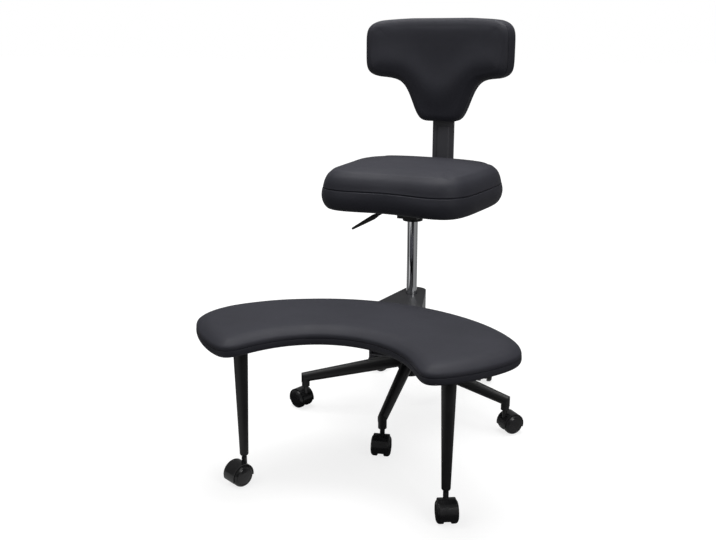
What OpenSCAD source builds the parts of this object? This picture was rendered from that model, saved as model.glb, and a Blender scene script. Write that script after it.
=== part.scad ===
// Cross-legged office chair: a five-star base on twin-wheel casters, a gas column, a padded seat with a
// T-shaped back on a flat steel bar, and a padded crescent stool that swings round the column on its own
// two legs. Millimetres, +Z up, origin on the floor under the column; the stool is in front, towards -Y.

/* [Base] */
// Turn of the five arms about the column, from one that points straight to the front
base_turn = 2.5; // [-36:0.5:36]
// Distance from the column's axis to each base caster's stem
base_reach = 267; // [240:1:300]
// Outer diameter of the base hub
hub_d = 62; // [60:1:70]
// Height of the hub's lower edge above the floor
hub_low = 108; // [104:1:112]
// Height of the hub's upper edge above the floor
hub_high = 150; // [144:1:160]
// Height of an arm's oval section at the column's axis
arm_root_h = 37; // [34:0.5:38]
// Height of an arm's centre line at the column's axis
arm_root_z = 134; // [126:1:136]
// Height of an arm's centre line over the caster's stem
arm_tip_z = 84; // [80:1:90]
// Height of an arm's oval section over the caster's stem
arm_tip_h = 25.5; // [24:0.5:28]
// Width of an arm's section as a share of its height
arm_flat = 0.86; // [0.84:0.01:1]
// Diameter of the upright post at an arm's end
post_d = 20; // [16:0.5:21]
// Height of a post's lower end above the floor
post_low = 60; // [59:0.5:64]
// Wall of the arm tubes
arm_wall = 2; // [1.5:0.25:3]

/* [Casters] */
// Diameter of a caster wheel
wheel_d = 48; // [46:1:52]
// Width of one wheel
wheel_w = 15.5; // [12:0.5:17]
// Gap between the two wheels of a caster
wheel_gap = 15.5; // [14.5:0.25:18]
// Distance from the stem's axis to the axle
trail = 16; // [15:0.5:20]
// Diameter of the axle
axle_d = 6; // [5:0.5:8]
// Diameter of the stem
stem_d = 8; // [7:0.5:9]
// Height of the stem's upper end above the floor
stem_top = 82; // [78:1:84]
// Wall of the hood over the wheels
hood_wall = 2; // [1.5:0.25:3]
// Directions in which the casters trail: base front and on round it to the right, then stool left and right
caster_turns = [279, 43, 100, 48, 157, 242, 293]; // [-360:1:360]

/* [Column] */
// Outer diameter of the stand tube
stand_d = 50; // [46:1:52]
// Wall of the stand tube
stand_wall = 1.5; // [1:0.25:2.5]
// Height of the stand tube's lower end above the floor
stand_low = 92; // [88:1:95]
// Height of the stand tube's upper end above the floor
stand_high = 296; // [280:1:300]
// Diameter of the chromed cylinder
cylinder_d = 26; // [24:1:30]
// Wall of the chromed cylinder
cylinder_wall = 2; // [1.5:0.25:3]
// Height of the cylinder's lower end above the floor
cylinder_low = 234; // [228:1:240]
// Diameter of the piston rod
rod_d = 10; // [8:0.5:12]
// Length of the guide bush in the stand tube
guide_length = 60; // [40:1:64]
// Travel of the seat from its highest to its lowest
stroke = 110; // [80:1:112]

/* [Seat] */
// Turn of the seat about the column, as it stands at rest
seat_turn = -6.3; // [-30:0.1:30]
// Width of the seat cushion
seat_w = 399; // [384:1:424]
// Distance from the column to the seat cushion's front edge
seat_front = 191; // [182:1:200]
// Distance from the column to the seat cushion's rear edge
seat_rear = 186; // [176:1:189]
// Height of the seat cushion's underside above the floor
seat_low = 532; // [530:1:540]
// Height of the seat cushion's side, up to its seam
seat_side = 54; // [46:1:60]
// Height from the seam to the crown
seat_rise = 45; // [30:1:52]
// Thickness of the seat's board
seat_board_t = 12; // [9:1:15]
// Diameter of the boss that takes the column
boss_d = 49; // [44:1:50]
// Height of the boss's lower end above the floor
boss_low = 491; // [488:1:493]

/* [Back] */
// Width of the back cushion over its wings
back_w = 409; // [390:1:425]
// Height of the back cushion's lowest point above the floor
back_low = 715; // [705:1:730]
// Height of the back cushion's top above the floor
back_high = 968; // [950:1:985]
// Height of the wings' lower edge above the floor
wing_low = 825; // [812:1:836]
// Half of the stem's width, half-way up its flare
stem_half = 81; // [74:1:90]
// Thickness of the back cushion at its side
back_t = 34; // [32:1:42]
// Rise of the back cushion's crown over its side
back_rise = 9; // [4:1:14]
// Radius to which the back is bent round the sitter
back_bend = 460; // [400:5:700]
// Width of the flat bar that holds the back
bar_w = 57; // [50:1:64]
// Thickness of the bar
bar_t = 6; // [5:0.5:8]
// Distance from the column to the bar's upright front face
bar_back = 198; // [196:1:204]

/* [Stool] */
// Turn of the stool about the column, as it stands at rest
stool_turn = -0.35; // [-30:0.05:30]
// Height of the stool's underside above the floor
stool_low = 317; // [312:1:320]
// Height of the stool cushion from its underside to the edge of its top
stool_side = 27; // [26:1:36]
// Height from the edge of the top to the crown
stool_rise = 10; // [8:1:18]
// Distance from the column to the centre that the crescent is struck from
stool_centre = 640; // [630:1:650]
// Radius of the crescent's inner, front edge
stool_inner = 184; // [176:1:192]
// Radius of the crescent's outer edge, nearest the column
stool_outer = 429; // [422:1:436]
// Thickness of the stool's board
stool_board_t = 12; // [9:1:15]
// Distance of each leg from the middle of the stool
leg_x = 221; // [208:1:230]
// Distance of the legs behind the centre that the crescent is struck from
leg_behind = 143; // [134:1:152]
// Diameter of a leg at its top
leg_top_d = 31.5; // [28:0.5:34]
// Diameter of a leg at its lower end
leg_end_d = 18.5; // [16:0.5:20]
// Height of a leg's lower end above the floor
leg_low = 63; // [62:0.5:68]

/* [Swivel bracket] */
// Thickness of the mounting plate between the bracket and the stool
mount_t = 11; // [10:0.5:13]
// Thickness of the bracket's sheet steel
sheet = 3; // [2:0.5:4]
// Radius of the bracket's round rear end
bracket_round = 28; // [28:0.5:32]
// Distance from the column to the centre of the rear end
bracket_rear = 29.5; // [26:0.5:34]
// Angle by which each side spreads from the middle line
bracket_angle = 12; // [11:0.1:16]
// Distance in front of the column where the deep part of the sides ends
bracket_deep = 138; // [110:1:150]
// How far the bracket reaches in under the stool
bracket_under = 134; // [125:1:149]

/* [Hidden] */
$fn = 96;
run_gap = 0.05;   // radial running clearance of a shaft in its bearing
soft_gap = 0.3;   // clearance round a soft solid
face_gap = 0.4;   // axial clearance between faces that turn against each other
far = 1000;       // longer than any cut needs
stool_rear = stool_centre - stool_outer;   // distance from the column to the stool's nearest edge
leg_y = stool_centre - leg_behind;
bracket_top = stool_low - mount_t;
bracket_front = stool_rear + bracket_under;

CASTERS = ["front", "right", "rear_right", "rear_left", "left", "stool_left", "stool_right"];
function parts_of(name) = [str("caster_", name, "_housing"), str("caster_", name, "_wheel_a"),
    str("caster_", name, "_wheel_b")];

// Smooth closed outlines and padded forms
function unit(v) = v / norm(v);
// Outward normals of a counter-clockwise closed outline
function normals(p) = let (n = len(p)) [for (i = [0:n - 1])
    let (d = p[(i + 1) % n] - p[(i + n - 1) % n]) unit([d[1], -d[0]])];
// The outline drawn in by d, then moved by the share f towards its spine
function ring(p, nrm, s, d, f) = [for (i = [0:len(p) - 1]) (p[i] - nrm[i] * d) * (1 - f) + s[i] * f];
function lift(points, z) = [for (q = points) [q[0], q[1], z]];
// Moves a share from -1 to 1 so that evenly spaced ones crowd towards the ends
function crowd(t) = 1.35 * t - 0.35 * t * t * t;
// Points round the square from -1 to 1, counter-clockwise from the middle of its right side, in
// nl steps on the upper and lower sides and ns on the others, and the same drawn in to round corners, whose
// squareness is given for the lower and the upper ones
function walk(nl, ns) = concat(
    [for (i = [0:ns / 2 - 1]) [1, crowd(2 * i / ns)]], [for (i = [0:nl - 1]) [crowd(1 - 2 * i / nl), 1]],
    [for (i = [0:ns - 1]) [-1, crowd(1 - 2 * i / ns)]], [for (i = [0:nl - 1]) [crowd(2 * i / nl - 1), -1]],
    [for (i = [0:ns / 2 - 1]) [1, crowd(2 * i / ns - 1)]]);
function round_square(nl, ns, corners) = [for (q = walk(nl, ns))
    let (e = corners[q[1] < 0 ? 0 : 1]) q / pow(pow(abs(q[0]), e) + pow(abs(q[1]), e), 1 / e)];

// Closed form over the outline p with the spine s, whose points i and n - i coincide. Each level gives how
// far the outline is drawn in, the share of the way to the spine, and the height. The last level lies on
// the spine, and the first one too if both is true; else it is one flat face.
module padded(p, s, levels, both, place) {
    n = len(p);
    first = both ? 1 : 0;
    k = len(levels) - 1;
    count = (k - first) * n;
    nrm = normals(p);
    half = [for (i = [0:n / 2]) s[i]];
    rings = [for (i = [first:k - 1]) each lift(ring(p, nrm, s, levels[i][0], levels[i][1]), levels[i][2])];
    function next(i) = (i + 1) % n;
    function top(i) = count + min(i, n - i);
    function low(i) = count + n / 2 + 1 + min(i, n - i);
    function band(a, b, i) = [[a + i, b + i, b + next(i)], [a + i, b + next(i), a + next(i)]];
    sides = [for (r = [0:k - first - 2]) for (i = [0:n - 1]) each band(r * n, (r + 1) * n, i)];
    lid = [for (i = [0:n - 1]) let (a = count - n, j = next(i))
        each [[a + i, top(i), top(j)], [a + i, top(j), a + j]]];
    base = both ? [for (i = [0:n - 1]) let (j = next(i)) each [[i, low(j), low(i)], [i, j, low(j)]]]
        : [[for (i = [0:n - 1]) i]];
    faces = [for (f = concat(base, sides, lid)) if (f[0] != f[1] && f[1] != f[2] && f[2] != f[0]) f];
    points = concat(rings, lift(half, levels[k][2]), both ? lift(half, levels[0][2]) : []);
    polyhedron([for (q = points) place(q)], faces, convexity = 6);
}

// Seat outline: a rounded square whose front edge is a little hollow in the middle
seat_hollow = 20;       // depth of the hollow
seat_hollow_w = 98;     // half width of the hollow
seat_corners = [4.8, 3.1]; // squareness of the front corners and of the rear ones
seat_taper = 0.07;      // how much wider the rear is than the middle, as a share
seat_spine = 30;        // half length of the line that the crown rises to
seat_half_d = (seat_front + seat_rear) / 2;
seat_mid = (seat_rear - seat_front) / 2;
seat_unit = round_square(18, 18, seat_corners);
function seat_dent(q) = q[1] < 0 ? -q[1] * seat_hollow * exp(-pow(q[0] * seat_w / 2 / seat_hollow_w, 2)) : 0;
seat_outline = [for (q = seat_unit) [q[0] * seat_w / 2 * (1 + seat_taper * q[1]),
    seat_mid + q[1] * seat_half_d + seat_dent(q)]];
seat_line = [for (q = seat_unit) [q[0] * seat_spine, seat_mid]];
seat_top = seat_side + seat_rise;
seat_levels = [[18, 0, 0], [13, 0, 3], [10, 0, 9], [7, 0, seat_side * 0.55], [0.5, 0, seat_side - 5],
    [3, 0, seat_side], [0.5, 0, seat_side + 4], [4, 0, seat_side + seat_rise * 0.38],
    [12, 0, seat_side + seat_rise * 0.64], [26, 0, seat_side + seat_rise * 0.84],
    [26, 0.3, seat_side + seat_rise * 0.94], [26, 0.65, seat_side + seat_rise * 0.99], [26, 1, seat_top]];
seat_board_in = 26;     // the board's edge inside the cushion's outline

// Stool outline: a crescent struck from one centre, its ends square to a line that slants outwards
stool_end_in = 83.5;     // angle of the ends at the inner edge
stool_end_out = 58.4;    // angle of the ends at the outer edge
stool_corners = [7, 7]; // squareness of the ends, at the inner edge and at the outer one
stool_line_share = 0.66; // share of the length that the crown's line takes
function crescent(q) = let (u = (q[1] + 1) / 2, r = stool_inner + u * (stool_outer - stool_inner),
    a = q[0] * (stool_end_in + u * (stool_end_out - stool_end_in))) [r * sin(a), r * cos(a) - stool_centre];
stool_unit = round_square(26, 12, stool_corners);
stool_outline = [for (q = stool_unit) crescent(q)];
stool_line = [for (q = stool_unit) crescent([q[0] * stool_line_share, 0])];
stool_crown = stool_side + stool_rise;
stool_levels = [[6, 0, 0], [1, 0, 3], [0, 0, 9], [0, 0, 13], [2, 0, 15.5], [0, 0, 18], [0.7, 0, 22],
    [5, 0, stool_side], [12, 0, stool_side + stool_rise * 0.45], [22, 0, stool_side + stool_rise * 0.76],
    [22, 0.1, stool_side + stool_rise * 0.9], [22, 0.5, stool_side + stool_rise * 0.98], [22, 1, stool_crown]];
stool_board_in = 12;    // the board's edge inside the cushion's outline

// Back outline: wings over a stem that narrows to a round lower end
wing_drop = 7;          // fall of the wings' lower edge towards the tips
stem_steep = 8;         // steepness of the flare from the stem to the wings
back_corners = [5.4, 5];// squareness of the lower corners of the wing tips and of the upper ones
back_spine = 120;       // half length of the line that the crown rises to
function wing_share(x) = pow(abs(x) * 2 / back_w, 2);
function back_lower(x) = wing_low - wing_drop * wing_share(x)
    - (wing_low - back_low) / (1 + pow(abs(x) / stem_half, stem_steep));
// Packs the points more closely where the stem flares out
function gather(t) = abs(t) < 0.8 ? t - sign(t) * 0.0764 * sin(450 * (abs(t) - 0.4)) : t;
back_unit = round_square(28, 6, back_corners);
back_outline = [for (q = back_unit) let (x = gather(q[0]) * back_w / 2, low = back_lower(x))
    [x, (back_high + low) / 2 + q[1] * (back_high - low) / 2]];
back_line = [for (q = back_unit) [q[0] * back_spine, (back_high + wing_low) / 2]];
back_levels = [[7, 1, 0], [7, 0.5, 0], [7, 0, 0], [1.5, 0, 3], [0, 0, 8], [1.5, 0, back_t * 0.5],
    [0, 0, back_t - 9], [2.5, 0, back_t - 5], [1, 0, back_t - 1], [6, 0, back_t + back_rise * 0.4],
    [14, 0, back_t + back_rise * 0.75], [14, 0.35, back_t + back_rise * 0.95], [14, 1, back_t + back_rise]];
back_board_t = 10;      // thickness of the bent board in the back
back_board_in = 14;     // the board's edge inside the cushion's outline
// A point of the flat form, moved on to the bent back: the rear face is at the bar
function bend_back(q) = let (r = back_bend - q[2], a = q[0] / back_bend * 180 / PI)
    [r * sin(a), bar_back - soft_gap - back_bend + r * cos(a), q[1]];

module ringed(d_out, d_in, z0, z1) {
    difference() {
        translate([0, 0, z0]) cylinder(h = z1 - z0, d = d_out);
        translate([0, 0, z0 - 1]) cylinder(h = z1 - z0 + 2, d = d_in);
    }
}
module rod(d, z0, z1) { translate([0, 0, z0]) cylinder(h = z1 - z0, d = d); }

// Base: a tapered hub, five arms with upright posts at their ends, and a sleeve for each stem
arm_count = 5;
arm_fall = atan((arm_root_z - arm_tip_z) / base_reach);
arm_length = norm([base_reach, arm_root_z - arm_tip_z]);
taper = 1.4321;         // half angle of the column's tapers
sleeve_d = 11;          // outer diameter of a stem sleeve
collar_h = 1.5;         // thickness of the collar on a stem
module each_arm() {
    for (i = [0:arm_count - 1]) rotate([0, 0, i * 360 / arm_count + base_turn - 90]) children();
}
function stand_at(z) = stand_d - 2 * max(0, hub_high - z) * tan(taper);

module base_hub() {
    color([0.07, 0.07, 0.08]) difference() {
        rod(hub_d, hub_low, hub_high);
        translate([0, 0, hub_low - 1]) cylinder(h = hub_high - hub_low + 1 + 0.001,
            d1 = stand_at(hub_low - 1) + run_gap, d2 = stand_at(hub_high) + run_gap);
    }
}
// An arm's tapered tube, drawn in by inset, from the distance start inside the stem inwards
module arm_tube(start, inset) {
    slope = (arm_root_h - arm_tip_h) / arm_length;
    translate([base_reach, 0, arm_tip_z]) rotate([0, arm_fall - 90, 0]) translate([0, 0, start])
        scale([1, arm_flat, 1]) cylinder(h = arm_length - start, d1 = arm_tip_h + slope * start - 2 * inset,
            d2 = arm_root_h - 2 * inset);
}
module arm() {
    difference() {
        union() {
            intersection() {
                arm_tube(-arm_tip_h, 0);
                union() {
                    translate([base_reach, 0, 0]) rod(arm_tip_h * arm_flat, 0, far);
                    translate([0, -arm_root_h, 0]) cube([base_reach, 2 * arm_root_h, far]);
                }
            }
            translate([base_reach, 0, 0]) rod(post_d, post_low, arm_tip_z);
        }
        arm_tube(post_d, arm_wall);
        rod(hub_d, 0, far);
        translate([base_reach, 0, 0]) rod(sleeve_d, post_low - 1, stem_top + 1);
    }
}
module base_arms() { color([0.07, 0.07, 0.08]) each_arm() arm(); }
module stem_sleeve(low) { ringed(sleeve_d, stem_d, low, stem_top); }
module base_stem_sleeves() {
    color([0.2, 0.2, 0.2]) each_arm() translate([base_reach, 0, 0]) stem_sleeve(post_low);
}
// A stem with its collar under the post, and a groove that holds the housing
module caster_stem(low) {
    rod(stem_d, caster_stem_low, stem_top);
    rod(sleeve_d, low - collar_h, low);
}
module base_caster_stems() {
    color([0.6, 0.6, 0.62]) each_arm() translate([base_reach, 0, 0]) caster_stem(post_low);
}

// Casters: two wheels on an axle behind the stem, with a hood over both
wheel_r = wheel_d / 2;
hood_gap = 0.8;          // clearance between a wheel and the hood
hood_r = wheel_r + hood_gap + hood_wall;
hood_w = 35;            // width of the hood
hood_from = -10;        // angle of the hood's lower edge on the stem's side
hood_to = 200;          // angle of its edge behind
web_t = wheel_gap - 2 * face_gap;
caster_neck_top = post_low - collar_h - face_gap;
caster_stem_low = 18;   // lower end of a stem
hub_round = 9;          // radius of the web round the axle
axle_length = wheel_gap + 2 * wheel_w - 6;
leg_r = norm([leg_x, leg_y]);
leg_angle = atan(leg_x / leg_y);
function caster_place(i) = i < arm_count
    ? base_reach * [sin(i * 72 + base_turn), -cos(i * 72 + base_turn)]
    : leg_r * [sin((i == arm_count ? -1 : 1) * leg_angle + stool_turn),
        -cos((i == arm_count ? -1 : 1) * leg_angle + stool_turn)];
module caster_frame(i) { translate(caster_place(i)) rotate([0, 0, caster_turns[i]]) children(); }
module on_axle() { translate([trail, 0, wheel_r]) rotate([90, 0, 0]) children(); }
module caster_housing(i) {
    color([0.06, 0.06, 0.065]) caster_frame(i) {
        difference() {
            union() {
                on_axle() rotate([0, 0, 180 - hood_to]) rotate_extrude(angle = hood_to - hood_from)
                    translate([hood_r - hood_wall, -hood_w / 2]) square([hood_wall, hood_w]);
                intersection() {
                    on_axle() translate([0, 0, -web_t / 2]) cylinder(h = web_t, r = hood_r - hood_wall / 2);
                    translate([trail - hood_r, -web_t / 2, wheel_r - hub_round])
                        cube([hood_r + hub_round, web_t, hood_r + hub_round]);
                }
                rod(stem_d + 3.5, wheel_r - hub_round, caster_neck_top);
            }
            rod(stem_d + 2 * run_gap, caster_stem_low - face_gap, far);
            on_axle() translate([0, 0, -wheel_gap]) cylinder(h = 2 * wheel_gap, d = axle_d + 2 * run_gap);
        }
        on_axle() translate([0, 0, -axle_length / 2]) cylinder(h = axle_length, d = axle_d);
    }
}
// One wheel, turned about its axle: a tread, a dished inner side and a domed outer disc with a rim
module caster_wheel(i, side) {
    color([0.05, 0.05, 0.055]) caster_frame(i) on_axle() rotate([side * 180, 0, 0])
        translate([0, 0, wheel_gap / 2]) rotate_extrude() difference() {
            polygon([[0, 0], [wheel_r - 1, 0], [wheel_r, 1], [wheel_r, wheel_w * 0.5],
                [wheel_r - 0.7, wheel_w * 0.66], [wheel_r - 2.4, wheel_w * 0.8],
                [wheel_r - 5, wheel_w * 0.89], [wheel_r - 6.2, wheel_w * 0.85],
                [wheel_r - 7.4, wheel_w * 0.91], [wheel_r * 0.4, wheel_w * 0.98], [0, wheel_w]]);
            square([axle_d / 2 + run_gap, (axle_length - wheel_gap) / 2 + face_gap]);
            translate([hub_round, -1]) square([wheel_r - 4 - hub_round, wheel_w * 0.5]);
        }
}

// Gas column: the stand tube with its guide bush, thrust bearing, rod and buffer, and the chromed cylinder
end_plate = 3;          // thickness of the stand tube's end plate
race_t = 2;             // thickness of a bearing race
ball_d = 4;             // diameter of a bearing ball
ball_count = 10;
ball_circle = 13;       // radius of the circle of balls
race_z = stand_low + end_plate;
balls_z = race_z + race_t + ball_d / 2;
upper_race_z = race_z + race_t + ball_d + 2 * run_gap;
collar_z = upper_race_z + race_t;
buffer_h = 12;
cylinder_top = 505;     // upper end of the cylinder
bore_d = cylinder_d - 2 * cylinder_wall;
seal_h = 10;            // height of the rod's seal
piston_z = cylinder_low + seal_h + 6;
piston_h = 10;
valve_h = 30;           // depth of the valve body in the cylinder's upper end
pin_d = 8;              // diameter of the valve's pin
module stand_tube() {
    color([0.08, 0.08, 0.09]) difference() {
        union() {
            rod(stand_d, hub_high, stand_high);
            translate([0, 0, stand_low])
                cylinder(h = hub_high - stand_low, d1 = stand_at(stand_low), d2 = stand_d);
        }
        translate([0, 0, hub_high]) cylinder(h = far, d = stand_d - 2 * stand_wall);
        translate([0, 0, race_z]) cylinder(h = hub_high - race_z,
            d1 = stand_at(race_z) - 2 * stand_wall, d2 = stand_d - 2 * stand_wall);
        rod(rod_d + 1, 0, race_z + 1);
    }
}
module guide_bush() {
    color([0.85, 0.85, 0.8]) difference() {
        union() {
            rod(stand_d - 2 * stand_wall, stand_high - guide_length, stand_high);
            rod(stand_d - 0.5, stand_high, stand_high + 2);
        }
        rod(cylinder_d + 2 * run_gap, 0, far);
    }
}
module thrust_bearing_lower() {
    color([0.7, 0.7, 0.72]) {
        ringed(2 * (ball_circle + ball_d), rod_d + 2, race_z, race_z + race_t);
        for (i = [0:ball_count - 1]) rotate([0, 0, i * 360 / ball_count])
            translate([ball_circle, 0, balls_z + run_gap]) sphere(d = ball_d, $fn = 32);
    }
}
module thrust_bearing_upper() {
    color([0.7, 0.7, 0.72]) ringed(2 * (ball_circle + ball_d), rod_d + 2, upper_race_z, collar_z);
}
module piston_rod() {
    color([0.75, 0.75, 0.77]) difference() {
        union() {
            rod(rod_d, stand_low - 6, piston_z + piston_h + 2);
            rod(rod_d + 8, collar_z, collar_z + 2);
        }
        ringed(rod_d + 2, rod_d - 2, stand_low - 3, stand_low - 1.5);
    }
}
module rod_clip() { color([0.5, 0.5, 0.52]) ringed(rod_d + 7, rod_d - 2, stand_low - 2.8, stand_low - 1.7); }
module rubber_buffer() {
    color([0.1, 0.1, 0.1]) ringed(stand_d * 0.6, rod_d, collar_z + 2, collar_z + 2 + buffer_h);
}
module piston() {
    color([0.3, 0.3, 0.32]) ringed(bore_d - 2 * run_gap, rod_d, piston_z, piston_z + piston_h);
}
module gas_cylinder() {
    color([0.85, 0.86, 0.88]) difference() {
        union() {
            rod(cylinder_d, cylinder_low, boss_low);
            translate([0, 0, boss_low]) cylinder(h = cylinder_top - boss_low, d1 = cylinder_d,
                d2 = cylinder_d - 2 * (cylinder_top - boss_low) * tan(taper));
        }
        rod(bore_d, 0, cylinder_top - valve_h);
        rod(pin_d + 2 * run_gap, 0, far);
    }
}
module rod_seal() {
    color([0.12, 0.12, 0.12]) ringed(bore_d, rod_d + 2 * run_gap, cylinder_low, cylinder_low + seal_h);
}
module valve_pin() { color([0.8, 0.8, 0.8]) rod(pin_d, cylinder_top - 18, lever_z - lever_d / 2 - face_gap); }

// Seat mechanism: a plate over a folded channel with the column's boss, and the height lever
plate_t = 3;            // sheet of the mechanism
plate_w = 190;          // width of the plate, left to right
plate_front = 100;      // plate's reach in front of the column
plate_back = 140;       // plate's reach behind it
channel_w = 51;
channel_front = 38;     // reach of the channel in front of the column
channel_back = 34;      // reach of the channel behind it
channel_low = 500;
boss_top = cylinder_top + 1;
lever_d = 8;
lever_z = 514;          // height of the lever's inner, level part
lever_pivot = 22;       // distance from the column to the lever's pivot
pivot_d = 5;
lever_bend = 64;        // distance from the column to the lever's bend
lever_dip = 31;         // angle by which the lever slopes down outside the bend
grip_start = 36;        // start of the grip, along the sloping part
lever_reach = 115;      // length of the sloping part, grip included
seat_screw_x = 72;
seat_screw_y = 80;
screw_d = 6;
head_d = 12;
head_h = 4;
lug_t = 3;
pin_l = lever_d + 2 + 2 * lug_t;   // length of the lever's pin, over both lugs
module seat_side_up() { rotate([0, 0, seat_turn]) children(); }
module seat_screw_places() {
    for (x = [-1, 1]) for (y = [-1, 1]) translate([x * seat_screw_x, y * seat_screw_y, 0]) children();
}
bar_bolt_y = 108;
bar_bolt_x = 16;
module bar_bolt_places() { for (x = [-1, 1]) translate([x * bar_bolt_x, bar_bolt_y, 0]) children(); }
module seat_mechanism() {
    color([0.08, 0.08, 0.085]) seat_side_up() difference() {
        union() {
            translate([-plate_w / 2, -plate_front, seat_low - plate_t])
                cube([plate_w, plate_front + plate_back, plate_t]);
            difference() {
                translate([-channel_w / 2, -channel_front, channel_low])
                    cube([channel_w, channel_front + channel_back, seat_low - plate_t - channel_low]);
                translate([-channel_w / 2 + plate_t, -channel_front + plate_t, channel_low + plate_t])
                    cube([channel_w - 2 * plate_t, channel_front + channel_back - 2 * plate_t, far]);
            }
            rod(boss_d, boss_low, boss_top);
            for (y = [-lever_d / 2 - 1 - lug_t, lever_d / 2 + 1])
                translate([-lever_pivot - 6, y, channel_low]) cube([12, lug_t, lever_z + 6 - channel_low]);
        }
        translate([0, 0, boss_low - 0.001]) cylinder(h = boss_top - boss_low + 1, d1 = cylinder_d + run_gap,
            d2 = cylinder_d + run_gap - 2 * (boss_top - boss_low + 1) * tan(taper));
        translate([-channel_w, -lever_d / 2 - 1, lever_z - 8]) cube([channel_w / 2 + 4, lever_d + 2, 15]);
        translate([-lever_pivot, pin_l, lever_z]) rotate([90, 0, 0]) cylinder(h = 2 * pin_l, d = pivot_d);
        seat_screw_places() rod(screw_d + 0.4, 0, far);
        bar_bolt_places() rod(screw_d + 0.4, 0, far);
    }
}
module lever_pivot_pin() {
    color([0.6, 0.6, 0.62]) seat_side_up() translate([-lever_pivot, 0, lever_z]) rotate([90, 0, 0])
        translate([0, 0, -pin_l / 2]) cylinder(h = pin_l, d = pivot_d);
}
// The sloping part of the lever, from its bend outwards
module lever_slope() { translate([-lever_bend, 0, lever_z]) rotate([0, -90 - lever_dip, 0]) children(); }
module lever_rod() {
    color([0.1, 0.1, 0.1]) seat_side_up() difference() {
        union() {
            translate([-lever_bend, 0, lever_z]) rotate([0, 90, 0]) cylinder(h = lever_bend + 5, d = lever_d);
            translate([-lever_bend, 0, lever_z]) sphere(d = lever_d + 0.2);
            lever_slope() cylinder(h = grip_start + 30, d = lever_d);
        }
        translate([-lever_pivot, lever_d, lever_z]) rotate([90, 0, 0])
            cylinder(h = 2 * lever_d, d = pivot_d + 2 * run_gap);
    }
}
module lever_grip() {
    color([0.06, 0.06, 0.065]) seat_side_up() difference() {
        lever_slope() union() {
            translate([0, 0, grip_start]) cylinder(h = 12, d1 = lever_d + 2, d2 = lever_d + 5);
            translate([0, 0, grip_start + 12]) cylinder(h = 26, d1 = lever_d + 5, d2 = lever_d + 2.5);
            translate([0, 0, grip_start + 38])
                cylinder(h = lever_reach - grip_start - 38, d1 = lever_d + 2.5, d2 = 6);
            translate([0, 0, lever_reach]) sphere(d = 6.1);
        }
        lever_slope() cylinder(h = grip_start + 30, d = lever_d);
    }
}

module seat_screws() {
    color([0.55, 0.55, 0.57]) seat_side_up() seat_screw_places() {
        rod(screw_d, seat_low - plate_t, seat_low + seat_board_t - 2);
        rod(head_d, seat_low - plate_t - head_h, seat_low - plate_t);
    }
}
module bar_bolts() {
    color([0.55, 0.55, 0.57]) seat_side_up() bar_bolt_places() {
        rod(screw_d, seat_low - plate_t - bar_t, seat_low);
        rod(head_d, seat_low - plate_t - bar_t - head_h, seat_low - plate_t - bar_t);
    }
}
module seat_board_plan(more) {
    polygon(ring(seat_outline, normals(seat_outline), seat_line, seat_board_in - more, 0));
}
module seat_board() {
    color([0.72, 0.58, 0.4]) seat_side_up() difference() {
        translate([0, 0, seat_low]) linear_extrude(seat_board_t) seat_board_plan(0);
        seat_screw_places() rod(screw_d, 0, far);
    }
}
module seat_cushion() {
    color([0.1, 0.1, 0.115]) seat_side_up() difference() {
        translate([0, 0, seat_low]) padded(seat_outline, seat_line, seat_levels, false, function (q) q);
        translate([0, 0, seat_low - 1]) linear_extrude(seat_board_t + 1 + soft_gap) seat_board_plan(soft_gap);
    }
}

// Back: a flat bar bent up behind the seat, a bent board and the padded T
bar_bend = 6;           // inner radius of the bar's bend
bar_start = 88;         // distance behind the column where the bar begins
bar_high = 882;         // height of the bar's upper end
rib_w = 28;             // width of the raised rib
rib_t = 3;              // how far the rib stands out
rib_low = 575;
rib_high = 700;
back_bolt_z = [770, 815, 860];
module along_x(length) {
    rotate([90, 0, 90]) translate([0, 0, -length / 2]) linear_extrude(length) children();
}
module back_bolt_places() {
    for (z = back_bolt_z) translate([0, bar_back, z]) rotate([-90, 0, 0]) children();
}
module back_bar() {
    low = seat_low - plate_t;
    cy = bar_back - bar_bend;
    cz = low + bar_bend;
    color([0.07, 0.07, 0.075]) seat_side_up() difference() {
        union() {
            along_x(bar_w) {
                translate([bar_start, low - bar_t]) square([cy - bar_start, bar_t]);
                translate([bar_back, cz]) square([bar_t, bar_high - cz]);
                intersection() {
                    translate([cy, cz]) difference() {
                        circle(r = bar_bend + bar_t);
                        circle(r = bar_bend);
                    }
                    translate([cy, cz - far]) square([far, far]);
                }
            }
            translate([0, bar_back, rib_low]) linear_extrude(rib_high - rib_low) polygon([
                [-rib_w / 2 - rib_t, 0.5], [rib_w / 2 + rib_t, 0.5],
                [rib_w / 2, -rib_t], [-rib_w / 2, -rib_t]]);
        }
        bar_bolt_places() rod(screw_d + 0.4, 0, far);
        back_bolt_places() translate([0, 0, -1]) cylinder(h = bar_t + 2, d = screw_d + 0.4);
    }
}
module back_screws() {
    color([0.1, 0.1, 0.1]) seat_side_up() back_bolt_places() {
        translate([0, 0, -soft_gap - back_board_t + 2])
            cylinder(h = soft_gap + back_board_t - 2 + bar_t, d = screw_d);
        translate([0, 0, bar_t]) cylinder(h = head_h, d = head_d);
    }
}
module back_slab(inset, z0, z1) {
    padded(back_outline, back_line, [[inset, 1, z0], [inset, 0.5, z0], [inset, 0, z0], [inset, 0, z1],
        [inset, 0.5, z1], [inset, 1, z1]], true, function (q) bend_back(q));
}
module back_board() {
    color([0.72, 0.58, 0.4]) seat_side_up() difference() {
        back_slab(back_board_in, 0, back_board_t);
        back_bolt_places() translate([0, 0, -back_board_t - 5]) cylinder(h = back_board_t + 10, d = screw_d);
    }
}
module back_cushion() {
    color([0.1, 0.1, 0.115]) seat_side_up() difference() {
        padded(back_outline, back_line, back_levels, true, function (q) bend_back(q));
        back_slab(back_board_in - soft_gap, -2, back_board_t + soft_gap);
    }
}

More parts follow.
